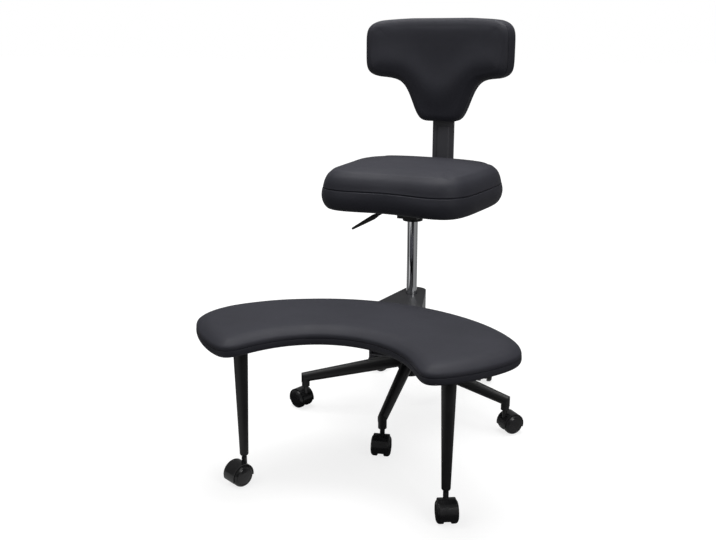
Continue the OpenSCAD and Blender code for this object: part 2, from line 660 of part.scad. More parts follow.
// Stool: a bracket that turns on the stand tube, a board, the crescent cushion and two legs
sleeve_out = stand_d + 10;   // outer diameter of the bracket's sleeve
bush_out = stand_d + 4;      // outer diameter of its bushes
bush_l = 25;                 // length of a bush
flange_t = 3 - face_gap;     // thickness of the lower bush's flange, which rides on the hub
bracket_low = 156;           // lower edge of the deep sides at the rear
bracket_deep_low = 175;      // their lower edge at the front
bracket_web = 182;           // height of the web plate inside the sides
bracket_shallow = 34;        // depth of the shallow sides under the stool
stool_bolt_x = 45;
stool_bolt_y = [stool_rear + 55, stool_rear + 107];
plate_side = 70;             // half width of the mounting plate
plate_y = [stool_rear + 33, bracket_front - 5];   // its ends in front of the column
module stool_side() { rotate([0, 0, stool_turn]) children(); }
module bracket_plan(inset, front) {
    r = bracket_round - inset;
    s = bracket_angle;
    t = [(r - 0.1) * cos(s), bracket_rear + (r - 0.1) * sin(s)];
    x = t[0] + (t[1] + front) * tan(s);
    translate([0, bracket_rear]) circle(r = r);
    polygon([[-t[0], t[1]], [-x, -front], [x, -front], [t[0], t[1]]]);
}
module stool_bolt_places() {
    for (x = [-1, 1]) for (y = stool_bolt_y) translate([x * stool_bolt_x, -y, 0]) children();
}
module stool_bracket() {
    rear = bracket_rear + bracket_round + 1;
    under = bracket_top - sheet;
    color([0.08, 0.08, 0.085]) difference() {
        union() {
            translate([0, 0, under]) linear_extrude(sheet) bracket_plan(0, bracket_front);
            intersection() {
                linear_extrude(far) difference() {
                    bracket_plan(0, bracket_front);
                    bracket_plan(sheet, bracket_front + 1);
                }
                along_x(far) polygon([[rear, bracket_top], [rear, bracket_low], [0, bracket_low],
                    [-bracket_deep, bracket_deep_low], [-bracket_deep, bracket_top - bracket_shallow],
                    [-bracket_front - 1, bracket_top - bracket_shallow + 8],
                    [-bracket_front - 1, bracket_top]]);
            }
            intersection() {
                translate([0, 0, bracket_web]) linear_extrude(sheet) bracket_plan(sheet / 2, bracket_deep);
                translate([-far, -bracket_deep, 0]) cube([2 * far, far, far]);
            }
            rod(sleeve_out, hub_high + 3, under + 1);
        }
        rod(bush_out, 0, under);
        rod(cylinder_d + 3, 0, far);
        stool_bolt_places() rod(screw_d + 0.4, 0, far);
    }
}
module bracket_bushes() {
    color([0.85, 0.85, 0.8]) {
        ringed(bush_out, stand_d + 2 * run_gap, hub_high + 3, hub_high + 3 + bush_l);
        ringed(sleeve_out, stand_d + 2 * run_gap, hub_high + face_gap, hub_high + 3);
        ringed(bush_out, stand_d + 2 * run_gap, stand_high - 2 - bush_l, stand_high - 2);
    }
}
module mounting_plate() {
    color([0.08, 0.08, 0.085]) difference() {
        translate([-plate_side, -plate_y[1], bracket_top])
            cube([2 * plate_side, plate_y[1] - plate_y[0], mount_t]);
        stool_bolt_places() rod(screw_d + 0.4, 0, far);
    }
}
module bracket_bolts() {
    color([0.55, 0.55, 0.57]) stool_bolt_places() {
        rod(screw_d, bracket_top - sheet, stool_low + stool_board_t - 2);
        rod(head_d, bracket_top - sheet - head_h, bracket_top - sheet);
    }
}
leg_plate_d = 68;       // diameter of the plate at a leg's top
leg_plate_t = 4;
leg_wall = 1.5;
leg_screw_r = 25;       // radius of the circle of screws
leg_screw_d = 5;
leg_screw_head = 9;
leg_chamfer = 2;
module each_leg() { for (x = [-1, 1]) translate([x * leg_x, -leg_y, 0]) children(); }
module leg_screw_ring() {
    for (i = [0:2]) rotate([0, 0, i * 120 + 90]) translate([leg_screw_r, 0, 0]) children();
}
module leg_screw_places() { each_leg() leg_screw_ring() children(); }
module stool_board_plan(more) {
    polygon(ring(stool_outline, normals(stool_outline), stool_line, stool_board_in - more, 0));
}
module stool_board() {
    color([0.72, 0.58, 0.4]) difference() {
        translate([0, 0, stool_low]) linear_extrude(stool_board_t) stool_board_plan(0);
        stool_bolt_places() rod(screw_d, 0, far);
        leg_screw_places() rod(leg_screw_d, 0, stool_low + stool_board_t - 2);
    }
}
module stool_cushion() {
    edge = stool_board_in - soft_gap;
    roof = stool_board_t + soft_gap;
    pocket = [[edge, 1, roof], [edge, 0, roof], [edge, 0, 0.8]];
    color([0.1, 0.1, 0.115]) translate([0, 0, stool_low])
        padded(stool_outline, stool_line, concat(pocket, stool_levels), true, function (q) q);
}
module stool_legs() {
    top = stool_low - leg_plate_t;
    slope = (leg_top_d - leg_end_d) / (top - leg_low);
    function leg_at(z) = leg_end_d + (z - leg_low) * slope;
    color([0.07, 0.07, 0.08]) each_leg() difference() {
        union() {
            translate([0, 0, leg_low]) cylinder(h = leg_chamfer, d1 = leg_end_d - leg_chamfer,
                d2 = leg_at(leg_low + leg_chamfer));
            translate([0, 0, leg_low + leg_chamfer]) cylinder(h = top - leg_low - leg_chamfer,
                d1 = leg_at(leg_low + leg_chamfer), d2 = leg_top_d);
            rod(leg_plate_d, top, stool_low);
        }
        translate([0, 0, stem_top + 2]) cylinder(h = top - stem_top - 2,
            d1 = leg_at(stem_top + 2) - 2 * leg_wall, d2 = leg_top_d - 2 * leg_wall);
        rod(leg_top_d - 2 * leg_wall, top - 0.001, far);
        rod(sleeve_d, 0, stem_top + 2.001);
        leg_screw_ring() rod(leg_screw_d + 0.4, 0, far);
    }
}
module leg_screws() {
    color([0.55, 0.55, 0.57]) leg_screw_places() {
        rod(leg_screw_d, stool_low - leg_plate_t, stool_low + stool_board_t - 2);
        rod(leg_screw_head, stool_low - leg_plate_t - 3, stool_low - leg_plate_t);
    }
}
module stool_stem_sleeves() { color([0.2, 0.2, 0.2]) each_leg() stem_sleeve(leg_low); }
module stool_caster_stems() { color([0.6, 0.6, 0.62]) each_leg() caster_stem(leg_low); }

base_hub();
base_arms();
base_stem_sleeves();
base_caster_stems();
stand_tube();
guide_bush();
thrust_bearing_lower();
thrust_bearing_upper();
rod_clip();
rubber_buffer();
piston_rod();
piston();
gas_cylinder();
rod_seal();
valve_pin();
seat_mechanism();
lever_pivot_pin();
lever_rod();
lever_grip();
seat_board();
seat_cushion();
seat_screws();
back_bar();
bar_bolts();
back_board();
back_cushion();
back_screws();
stool_side() stool_bracket();
stool_side() bracket_bushes();
stool_side() mounting_plate();
stool_side() bracket_bolts();
stool_side() stool_board();
stool_side() stool_cushion();
stool_side() stool_legs();
stool_side() leg_screws();
stool_side() stool_stem_sleeves();
stool_side() stool_caster_stems();
for (i = [0:len(CASTERS) - 1]) {
    caster_housing(i);
    caster_wheel(i, 0);
    caster_wheel(i, 1);
}
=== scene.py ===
import math

import bpy
import numpy as np
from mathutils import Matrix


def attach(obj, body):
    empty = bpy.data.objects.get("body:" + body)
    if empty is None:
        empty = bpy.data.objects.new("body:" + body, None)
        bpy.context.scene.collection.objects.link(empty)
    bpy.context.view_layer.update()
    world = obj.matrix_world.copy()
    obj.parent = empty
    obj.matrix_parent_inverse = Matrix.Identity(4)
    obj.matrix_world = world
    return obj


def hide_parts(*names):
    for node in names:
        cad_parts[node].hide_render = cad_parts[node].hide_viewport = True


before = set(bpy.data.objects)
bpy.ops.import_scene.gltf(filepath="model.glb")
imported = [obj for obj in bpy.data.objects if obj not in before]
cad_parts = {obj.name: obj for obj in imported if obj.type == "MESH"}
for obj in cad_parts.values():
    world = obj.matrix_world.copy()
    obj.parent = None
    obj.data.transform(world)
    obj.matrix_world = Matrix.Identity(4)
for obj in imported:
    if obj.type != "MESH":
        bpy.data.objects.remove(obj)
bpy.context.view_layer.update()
scene = bpy.context.scene


# Base and stand.
# Five tapered oval tubes with upright end posts are welded to a hub, and the stand tube stands in its middle.
# All of it is steel under one black powder coat. The caster stems and their sleeves are black too.
def add_node(tree, kind, settings, sockets, out=0):
    """Adds a node: first its settings, then a value or a link for each named or numbered socket. What comes
    back is the output of the name or number out."""
    node = tree.nodes.new(kind)
    for key, value in settings.items():
        setattr(node, key, value)
    for key, value in sockets.items():
        if isinstance(value, Socket):
            tree.links.new(value.out, node.inputs[key])
        else:
            node.inputs[key].default_value = value
    return Socket(tree, node.outputs[out])


class Socket:
    """A shader socket that reads like a number: each sign adds its Math node."""

    def __init__(self, tree, out):
        self.tree, self.out = tree, out

    def math(self, sign, *others):
        """The Math node of that sign, fed by this socket and the others in turn."""
        inputs = dict(enumerate((self, *others)))
        return add_node(self.tree, "ShaderNodeMath", {"operation": sign}, inputs)

    def __add__(self, other):
        return self.math("ADD", other)

    def __sub__(self, other):
        return self.math("SUBTRACT", other)

    def __rsub__(self, other):
        return self * -1 + other

    def __mul__(self, other):
        return self.math("MULTIPLY", other)

    __radd__, __rmul__ = __add__, __mul__

    def step(self, low, high):
        """0 below low, 1 above high, smooth in between."""
        settings = {"interpolation_type": "SMOOTHSTEP"}
        sockets = {"Value": self, "From Min": low, "From Max": high}
        return add_node(self.tree, "ShaderNodeMapRange", settings, sockets, "Result")


class Finish:
    """A Principled material with patterns of noise and cells, all read at object coordinates."""

    def __init__(self, name, color, rough, metal=0.0, spec=0.5):
        self.mat = bpy.data.materials.new(name)
        self.mat.use_nodes = True
        self.mat.diffuse_color = (*color, 1)
        self.tree = self.mat.node_tree
        self.bsdf = self.tree.nodes["Principled BSDF"]
        for key, value in (("Metallic", metal), ("Roughness", rough), ("Specular IOR Level", spec)):
            self.bsdf.inputs[key].default_value = value
        self.bsdf.inputs["Base Color"].default_value = (*color, 1)
        self.color = color
        self.place = self.node("ShaderNodeTexCoord", {}, {}, "Object")

    def node(self, kind, settings, sockets, out=0):
        """Adds a node to this finish and gives one of its outputs."""
        return add_node(self.tree, kind, settings, sockets, out)

    def scaled(self, scale):
        """The object coordinates times one scale, or times one for each axis."""
        sizes = scale if isinstance(scale, tuple) else (scale,) * 3
        return self.node("ShaderNodeMapping", {}, {"Vector": self.place, "Scale": sizes})

    def noise(self, scale, detail):
        """Clouds from 0 to 1, with scale of them to a metre."""
        sockets = {"Vector": self.scaled(scale), "Scale": 1, "Detail": detail}
        return self.node("ShaderNodeTexNoise", {}, sockets, "Fac")

    def cells(self, scale):
        """The distance to the middle of the nearest cell."""
        return self.node("ShaderNodeTexVoronoi", {}, {"Vector": self.scaled(scale), "Scale": 1}, "Distance")

    def feed(self, key, socket):
        """The shader's input of that name follows the socket."""
        self.tree.links.new(socket.out, self.bsdf.inputs[key])

    def tint(self, share, other):
        """The base colour goes from the finish's own to the other one by share."""
        sockets = {0: share, 6: (*self.color, 1), 7: (*other, 1)}
        self.feed("Base Color", self.node("ShaderNodeMix", {"data_type": "RGBA"}, sockets, 2))

    def rough(self, value):
        """The roughness follows value."""
        self.feed("Roughness", value)

    def bump(self, height, depth, strength):
        """The surface seems raised by height times depth, in metres, at that strength."""
        sockets = {"Height": height, "Distance": depth, "Strength": strength}
        self.feed("Normal", self.node("ShaderNodeBump", {}, sockets))

    def on(self, *names):
        """Puts the finish on the solids of those names."""
        for name in names:
            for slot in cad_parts[name].material_slots:
                slot.material = self.mat


coat = Finish("black_powder_coat", (0.012, 0.012, 0.013), 0.45, spec=0.4)
coat.tint(coat.noise(14, 3).step(0.35, 0.7), (0.016, 0.016, 0.017))
coat.rough(coat.noise(40, 2) * 0.12 + 0.40)
coat.bump(coat.noise(1300, 2), 0.00012, 0.5)
coat.on("base_hub", "base_arms", "stand_tube", "base_caster_stems", "base_stem_sleeves")

# Casters.
# Seven twin-wheel casters, two wheels under one hood each, moulded in glossy black nylon. Their stems are
# pushed into the sleeves of the end posts and legs, and snap in.
gloss = Finish("glossy_black_nylon", (0.012, 0.012, 0.013), 0.2)
gloss.tint(gloss.noise(35, 2).step(0.35, 0.75), (0.02, 0.02, 0.021))
gloss.rough(gloss.noise(90, 3) * 0.12 + 0.14)
gloss.bump(gloss.noise(420, 2), 0.00006, 0.5)
gloss.on(*[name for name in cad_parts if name.startswith("caster_")])

# Gas lift.
# A chromed steel cylinder on a ground piston rod, which stands on a thrust bearing in the stand's foot.
# The chrome's faint marks run along the tube, as polishing and sliding leave them.
chrome = Finish("chrome", (0.78, 0.79, 0.81), 0.07, metal=1.0)
chrome.tint(chrome.noise((60, 60, 6), 3).step(0.35, 0.8), (0.68, 0.69, 0.71))
chrome.rough(chrome.noise((300, 300, 14), 2) * 0.05 + chrome.noise(30, 3) * 0.05 + 0.03)
chrome.bump(chrome.noise((900, 900, 20), 2), 0.00002, 0.4)
chrome.on("gas_cylinder")

zinc = Finish("zinc_steel", (0.5, 0.5, 0.52), 0.35, metal=1.0)
zinc.tint(zinc.noise(55, 4).step(0.3, 0.75), (0.36, 0.36, 0.39))
zinc.rough(zinc.noise(220, 3) * 0.25 + 0.24)
zinc.bump(zinc.noise(800, 2), 0.00005, 0.5)
zinc.on("thrust_bearing_lower", "thrust_bearing_upper", "rod_clip", "piston_rod", "piston", "valve_pin")

nylon = Finish("white_nylon", (0.72, 0.72, 0.67), 0.45)
nylon.tint(nylon.noise(60, 3).step(0.3, 0.8), (0.6, 0.6, 0.54))
nylon.rough(nylon.noise(200, 2) * 0.2 + 0.35)
nylon.bump(nylon.noise(500, 2), 0.00006, 0.5)
nylon.on("guide_bush")

rubber = Finish("black_rubber", (0.015, 0.015, 0.015), 0.7, spec=0.35)
rubber.tint(rubber.noise(80, 3).step(0.3, 0.75), (0.027, 0.027, 0.026))
rubber.rough(rubber.noise(300, 2) * 0.2 + 0.6)
rubber.bump(rubber.noise(900, 2), 0.0001, 0.5)
rubber.on("rubber_buffer", "rod_seal")

# Seat plate and lever.
# A pressed steel plate with a channel carries the seat, and a bent steel rod pivots in it to press the
# valve. The rod ends in a matte, finely grained grip pushed over it.
coat.on("seat_mechanism", "lever_rod")
zinc.on("lever_pivot_pin")

grip = Finish("matte_black_grip", (0.012, 0.012, 0.012), 0.55, spec=0.4)
grip.tint(grip.noise(120, 2).step(0.3, 0.7), (0.02, 0.02, 0.02))
grip.rough(grip.noise(500, 2) * 0.2 + 0.45)
grip.bump(grip.cells(1100), 0.0001, 0.6)
grip.on("lever_grip")

# Stool bracket, legs and back bar.
# The folded bracket that turns round the stand on nylon bushes, and the flat bar behind the seat, get a
# lighter and slightly smoother copy of the base's black coat. Its extra lightness is painted light for the
# bracket's upward plate and the bar. The legs and the plate under the stool match the base.
# the same black coat made lighter: the added lightness is painted light on the bracket and the bar
lit_coat = Finish("black_coat_painted_lighter", (0.062, 0.062, 0.07), 0.42)
lit_coat.tint(lit_coat.noise(14, 3).step(0.35, 0.7), (0.07, 0.07, 0.079))
lit_coat.rough(lit_coat.noise(40, 2) * 0.12 + 0.34)
lit_coat.bump(lit_coat.noise(1300, 2), 0.00012, 0.5)
lit_coat.on("stool_bracket", "back_bar")
coat.on("mounting_plate", "stool_legs", "stool_caster_stems", "stool_stem_sleeves", "back_screws")
nylon.on("bracket_bushes")
zinc.on("bracket_bolts", "leg_screws", "bar_bolts", "seat_screws")

# Boards.
# The seat, stool and back are built on plywood boards. Their undersides are closed with black non-woven
# cloth, whose fibres lie both ways, stapled on.
cloth = Finish("black_dust_cloth", (0.018, 0.018, 0.019), 0.9, spec=0.2)
fibre = cloth.noise((1500, 220, 700), 3) + cloth.noise((220, 1500, 700), 3)
cloth.tint(fibre.step(0.7, 1.3), (0.045, 0.045, 0.046))
cloth.rough(fibre * 0.1 + 0.78)
cloth.bump(fibre, 0.0003, 0.7)
cloth.on("seat_board", "stool_board", "back_board")

# Seat cushion.
# Foam under grained black leather cloth: a rounded square with a hollow front edge, seamed all round at the
# top of its side and crowned above it. The cover goes round the board's edge and stops there.
MM = 0.001
BOARD, GAP, FOAM_FILL = 12, 0.3, 0.9
VOXEL, CLOTH_FRAMES, NEAREST, EVEN_PASSES = 0.0055, 20, 6, 14
SEAT_W, SEAT_FRONT, SEAT_REAR, SEAT_LOW, SEAT_SIDE, SEAT_RISE, SEAT_IN = 396, 191, 186, 532, 50, 49, 26
SEAT_TURN, SEAT_TAPER, SEAT_SPINE = -6.3, 0.07, 30
DENT_DEEP, DENT_HALF = 20, 98

leather = Finish("black_leather", (0.0195, 0.0197, 0.027), 0.5, spec=0.3)
grain = leather.cells(850) * 0.7 + leather.noise(1900, 2) * 0.35
leather.tint(leather.noise(9, 3).step(0.3, 0.75), (0.023, 0.0233, 0.0315))
leather.rough(leather.noise(26, 3) * 0.08 + grain * 0.05 + 0.58)
leather.bump(grain + leather.noise(60, 2) * 1.2, 0.00022, 0.55)


def crowd(t):
    """Brings points from -1 to 1 closer together at both ends: 1.35 t minus 0.35 t cubed."""
    return 1.35 * t - 0.35 * t**3


def round_square(long_side, short_side, powers):
    """Points counter-clockwise from the middle of the right side of a square from -1 to 1, each divided by
    its superellipse's norm (|x|^e + |y|^e)^(1/e), with one power e for the lower half and one for the
    upper."""
    a, b = np.arange(long_side) / long_side * 2 - 1, np.arange(short_side) / short_side * 2 - 1
    half = short_side // 2
    x = np.r_[np.ones(short_side - half), crowd(-a), -np.ones(short_side), crowd(a), np.ones(half)]
    y = np.r_[crowd(b[half:]), np.ones(long_side), crowd(-b), -np.ones(long_side), crowd(b[:half])]
    e = np.where(y < 0, powers[0], powers[1])[:, None]
    square = np.c_[x, y]
    return square / (np.abs(square) ** e).sum(1)[:, None] ** (1 / e)


def rings(outline, spine, levels):
    """One ring of points per level: the outline drawn in along its normals by the level's inset, moved its
    share of the way to the spine, at its height."""
    d = np.roll(outline, -1, 0) - np.roll(outline, 1, 0)
    normal = np.c_[d[:, 1], -d[:, 0]] / np.linalg.norm(d, axis=1)[:, None]
    return np.array([np.c_[(outline - normal * inset) * (1 - share) + spine * share,
                           np.full(len(outline), height)] for inset, share, height in levels])


def tuck(inset, board, shares, rim):
    """Levels of a cover's underside: out over the board's top, down its edge, and out to the rim below."""
    over = [(inset - GAP, share, board + GAP) for share in shares]
    return over + [(inset - GAP, 0, board * 0.5), (inset - GAP, 0, 0.4), (inset - rim, 0, 0)]


def smooth(keys, steps):
    """A Catmull-Rom curve through the keys, with the given number of steps between each pair."""
    k = np.array(keys, float)
    k = np.vstack([2 * k[0] - k[1], k, 2 * k[-1] - k[-2]])
    out = []
    for i, count in enumerate(steps):
        a, b, c, d = k[i:i + 4]
        t = np.arange(count)[:, None] / count
        square, cube = 2 * a - 5 * b + 4 * c - d, 3 * b - a - 3 * c + d
        out.append(0.5 * (2 * b + (c - a) * t + square * t**2 + cube * t**3))
    return np.vstack([*out, k[-2]])


def faces_of(rows, n):
    """Quads between rings of n points. The first and last ring lie on a spine, where points i and n - i are
    one, so that quads there become triangles or close up."""
    idx = np.arange(rows * n).reshape(rows, n)
    back = (n - np.arange(n)) % n
    for r in (0, rows - 1):
        idx[r] = idx[r][np.minimum(np.arange(n), back)]
    quads = np.stack([idx[:-1], np.roll(idx[:-1], -1, 1), np.roll(idx[1:], -1, 1), idx[1:]], 2)
    faces = [list(dict.fromkeys(f)) for f in quads.reshape(-1, 4).tolist()]
    return [f for f in faces if len(f) > 2]


def mesh_object(name, points, faces):
    """A smooth-shaded object of those points that some face uses, numbered anew in the same order."""
    used = np.unique(np.concatenate([np.array(f) for f in faces]))
    new = np.full(len(points), -1)
    new[used] = np.arange(len(used))
    mesh = bpy.data.meshes.new(name)
    mesh.from_pydata(points[used].tolist(), [], [new[f].tolist() for f in faces])
    mesh.validate()
    mesh.shade_smooth()
    piece = bpy.data.objects.new(name, mesh)
    scene.collection.objects.link(piece)
    return piece


def settle(piece):
    """The mesh that the piece's modifiers make becomes its own."""
    mesh = bpy.data.meshes.new_from_object(piece.evaluated_get(bpy.context.evaluated_depsgraph_get()))
    piece.modifiers.clear()
    piece.data = mesh


def carried(ring, before, swell):
    """The swelling at a ring's points: the mean of that at the six nearest vertices of the even copy, each
    weighted by 1 / (its distance + 1 mm). The squared distances come from |p|^2 + |q|^2 - 2 p.q."""
    square = (ring**2).sum(1)[:, None] + (before**2).sum(1) - 2 * ring @ before.T
    near = np.argpartition(square, NEAREST, 1)[:, :NEAREST]
    weight = 1 / (np.linalg.norm(ring[:, None] - before[near], axis=2) + MM)
    return (swell[near] * weight[:, :, None]).sum(1) / weight.sum(1)[:, None]


def inflate(cover, hold, pressure, cap):
    """The rings blown up as cloth: an even copy is simulated, held below the height hold, and its swelling is
    carried over to the rings, evened out along and across them, and softly limited to cap."""
    rows, n, _ = cover.shape
    trial = mesh_object("cloth_trial", cover.reshape(-1, 3), faces_of(rows, n))
    remesh = trial.modifiers.new("remesh", "REMESH")
    remesh.mode, remesh.voxel_size = "VOXEL", VOXEL
    settle(trial)
    places = np.empty(len(trial.data.vertices) * 3)
    trial.data.vertices.foreach_get("co", places)
    before = places.reshape(-1, 3).copy()
    trial.vertex_groups.new(name="held").add(np.flatnonzero(before[:, 2] < hold).tolist(), 1.0, "REPLACE")
    blow = trial.modifiers.new("cloth", "CLOTH")
    fabric = blow.settings
    fabric.quality, fabric.mass = 6, 0.25
    fabric.tension_stiffness = fabric.compression_stiffness = 15
    fabric.shear_stiffness, fabric.bending_stiffness = 8, 2.0
    fabric.use_pressure, fabric.uniform_pressure_force = True, pressure
    fabric.vertex_group_mass = "held"
    fabric.effector_weights.gravity = 0
    blow.collision_settings.use_collision = False
    blow.point_cache.frame_start, blow.point_cache.frame_end = 1, CLOTH_FRAMES
    for moment in range(1, CLOTH_FRAMES + 1):
        scene.frame_set(moment)
    blown = trial.evaluated_get(bpy.context.evaluated_depsgraph_get())
    blown.data.vertices.foreach_get("co", places)
    swell = places.reshape(-1, 3) - before
    move = np.array([carried(ring, before, swell) for ring in cover])
    for _ in range(EVEN_PASSES):
        move = (np.roll(move, 1, 1) + 2 * move + np.roll(move, -1, 1)) / 4
        move[1:-1] = (move[:-2] + 2 * move[1:-1] + move[2:]) / 4
    size = np.linalg.norm(move, axis=2, keepdims=True)
    bpy.data.objects.remove(trial)
    scene.frame_set(1)
    return cover + move * cap / (size + cap)


def sew(cover, height, rows_in, depth, width):
    """Adds rows along a seam at that height, between those rows of the side. Each is the straight mix of the
    two rows beside it, moved in along the normals: by depth at the seam, and a little out beside it."""
    a, b = rows_in
    side = cover[a:b]
    offsets = np.array([-2.6, -1.3, -0.45, 0.0, 0.45, 1.3, 2.6]) * width
    sunk = np.array([0.0, -0.12, 0.55, 1.0, 0.55, -0.12, 0.0]) * depth
    normal = np.cross(np.roll(side, -1, 1) - np.roll(side, 1, 1), np.gradient(side, axis=0))
    normal /= np.linalg.norm(normal, axis=2, keepdims=True) + 1e-12
    mean_z = side[:, :, 2].mean(1)
    z = height + offsets
    r = np.searchsorted(mean_z, z) - 1
    t = ((z - mean_z[r]) / (mean_z[r + 1] - mean_z[r]))[:, None, None]
    along = side[r] * (1 - t) + side[r + 1] * t
    new = along - (normal[r] * (1 - t) + normal[r + 1] * t) * sunk[:, None, None]
    clear = 0.8 * MM
    low, high = np.searchsorted(mean_z, [z[0] - clear, z[-1] + clear])
    return np.concatenate([cover[:a + low], new, cover[a + high:]])


def turned(points, degrees):
    """The points turned about the column: x becomes x cos - y sin, and y becomes x sin + y cos."""
    c, s = math.cos(math.radians(degrees)), math.sin(math.radians(degrees))
    return np.c_[points[:, 0] * c - points[:, 1] * s, points[:, 0] * s + points[:, 1] * c, points[:, 2]]


def cushion(name, points, rows, body, node):
    piece = mesh_object(name, points, faces_of(rows, len(points) // rows))
    finer = piece.modifiers.new("subdivision", "SUBSURF")
    finer.levels = finer.render_levels = 1
    settle(piece)
    piece.data.materials.clear()
    piece.data.materials.append(leather.mat)
    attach(piece, body)
    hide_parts(node)


square = round_square(56, 56, (4.8, 3.1))
x, y = square.T
mid = (SEAT_REAR - SEAT_FRONT) / 2
dent = np.where(y < 0, -y * DENT_DEEP * np.exp(-(x * SEAT_W / 2 / DENT_HALF) ** 2), 0)
outline = np.c_[x * SEAT_W / 2 * (1 + SEAT_TAPER * y), mid + y * (SEAT_FRONT + SEAT_REAR) / 2 + dent]
spine = np.c_[x * SEAT_SPINE, np.full(len(x), mid)]
under = tuck(SEAT_IN, BOARD, (1, 0.66, 0.33, 0), rim=2.5)
wall, crown = SEAT_SIDE, SEAT_RISE
side = smooth([(19, 0, 0), (12.5, 0, 3), (8, 0, 9), (3.6, 0, 19), (1.6, 0, 31), (2.6, 0, wall - 7),
               (4, 0, wall), (5, 0, wall + 6), (8, 0, wall + crown * 0.38), (15, 0, wall + crown * 0.64),
               (28, 0, wall + crown * 0.84)], [1, 1, 2, 3, 3, 2, 2, 3, 3, 3])
top = smooth([(28, 0, wall + crown * 0.84), (28, 0.3, wall + crown * 0.94), (28, 0.65, wall + crown * 0.99),
              (28, 1, wall + crown)], [5, 5, 5])
cover = rings(outline, spine, [*under, *side, *top[1:]]) * MM
cover = inflate(cover, hold=0.046, pressure=5.0, cap=0.005)
first = len(under)
cover = sew(cover, wall * MM, (first + 3, first + len(side)), depth=0.0028, width=0.0013)
points = turned(cover.reshape(-1, 3), SEAT_TURN) + [0, 0, SEAT_LOW * MM]
cushion("seat_cushion_cover", points, len(cover), "seat", "seat_cushion")

# Stool cushion.
# A thin, firm crescent under the same leather cloth, screwed to its board from below. It is seamed low on
# its side, with a soft rounded edge and a faint crown.
STOOL_LOW, STOOL_SIDE, STOOL_RISE, STOOL_IN, STOOL_SEAM = 317, 27, 10, 12, 15.5
INNER, OUTER, CENTRE, END_IN, END_OUT = 184, 429, 640, 83.5, 58.4
STOOL_TURN, STOOL_SPINE = -0.35, 0.66


def crescent(across, out):
    """Places values from -1 to 1 on the crescent: out sets the radius from inner to outer, and across the
    angle, up to the end angle that goes with that radius."""
    u = (out + 1) / 2
    r, a = INNER + u * (OUTER - INNER), np.radians(across * (END_IN + u * (END_OUT - END_IN)))
    return np.c_[r * np.sin(a), r * np.cos(a) - CENTRE]


across, out = round_square(104, 40, (7, 7)).T
outline, spine = crescent(across, out), crescent(across * STOOL_SPINE, 0 * across)
under = tuck(STOOL_IN, BOARD, (1, 0.66, 0.33, 0), rim=2)
wall, crown = STOOL_SIDE, STOOL_RISE
side = smooth([(6, 0, 0), (2, 0, 2), (0.6, 0, 6), (0.2, 0, 11), (0.6, 0, STOOL_SEAM), (0.2, 0, 19),
               (1.5, 0, 23.5), (5, 0, wall), (12, 0, wall + crown * 0.45), (19, 0, wall + crown * 0.7)],
              [1, 1, 2, 2, 2, 2, 2, 2, 3])
top = smooth([(19, 0, wall + crown * 0.7), (19, 0.12, wall + crown * 0.9), (19, 0.5, wall + crown * 0.98),
              (19, 1, wall + crown)], [3, 5, 6])
cover = rings(outline, spine, [*under, *side, *top[1:]]) * MM
cover = inflate(cover, hold=0.014, pressure=4.0, cap=0.003)
first = len(under)
cover = sew(cover, STOOL_SEAM * MM, (first + 2, first + 16), depth=0.0018, width=0.0008)
points = turned(cover.reshape(-1, 3), STOOL_TURN) + [0, 0, STOOL_LOW * MM]
cushion("stool_cushion_cover", points, len(cover), "stool", "stool_cushion")

# Back cushion.
# Two wings over a narrowing stem, bent round the sitter on a curved board, under the same leather cloth. A
# seam runs where the front panel meets the side, and a soft ridge dips from wing to wing across the stem.
BACK_W, BACK_HIGH, BACK_LOW, WING_LOW, STEM, BACK_T, BACK_RISE = 409, 968, 715, 825, 81, 34, 9
BEND, BAR_BACK, BACK_IN, BACK_BOARD, WING_SAG, BACK_SPINE = 460, 198, 14, 10, 7, 120
RIDGE_HIGH, RIDGE_DIP, RIDGE_RISE, DIP_HALF, RIDGE_HALF = 0.85, 0.062, 0.009, 0.07, 0.045


def gather(t):
    """Gathers points at the stem's corners, 0.4 of the half width out: t less a sine of t within 0.8."""
    near = np.abs(t)
    return np.where(near < 0.8, t - np.sign(t) * 0.0764 * np.sin(np.radians(450 * (near - 0.4))), t)


def bend_back(flat):
    """Rolls the flat cushion round an upright line in front of it and stands it against the bar: x becomes
    the angle, y the height, and the thickness shortens the radius."""
    r, a = BEND * MM - flat[:, 2], flat[:, 0] / (BEND * MM)
    return turned(np.c_[r * np.sin(a), (BAR_BACK - GAP - BEND) * MM + r * np.cos(a), flat[:, 1]], SEAT_TURN)


across, up = round_square(112, 24, (5.4, 5)).T
x = gather(across) * BACK_W / 2
low = WING_LOW - WING_SAG * (x * 2 / BACK_W) ** 2 - (WING_LOW - BACK_LOW) / (1 + np.abs(x / STEM) ** 7)
outline = np.c_[x, (BACK_HIGH + low) / 2 + up * (BACK_HIGH - low) / 2]
spine = np.c_[across * BACK_SPINE, np.full(len(x), (BACK_HIGH + WING_LOW) / 2)]
under = tuck(BACK_IN, BACK_BOARD, (1, 0.5, 0), rim=2)
wall, crown = BACK_T, BACK_RISE
side = smooth([(7, 0, 0), (2, 0, 3), (0.3, 0, 8), (0.6, 0, wall * 0.5), (0, 0, wall - 9), (0.6, 0, wall - 5),
               (1.4, 0, wall - 1), (6, 0, wall + crown * 0.4), (14, 0, wall + crown * 0.75)],
              [1, 1, 2, 2, 2, 2, 2, 2])
top = smooth([(14, 0, wall + crown * 0.75), (14, 0.35, wall + crown * 0.95), (14, 1, wall + crown)], [6, 8])
cover = rings(outline, spine, [*under, *side, *top[1:]]) * MM
ridge = RIDGE_HIGH - RIDGE_DIP * np.exp(-(cover[..., 0] / DIP_HALF) ** 2)
front = np.clip((cover[..., 2] / MM - wall) / crown, 0, 1) ** 1.5
cover[..., 2] += RIDGE_RISE * front * np.exp(-((cover[..., 1] - ridge) / RIDGE_HALF) ** 2)
cover = inflate(cover, hold=0.031, pressure=4.0, cap=0.0025)
first = len(under)
cover = sew(cover, (wall - 5) * MM, (first + 2, first + 14), depth=0.0018, width=0.0009)
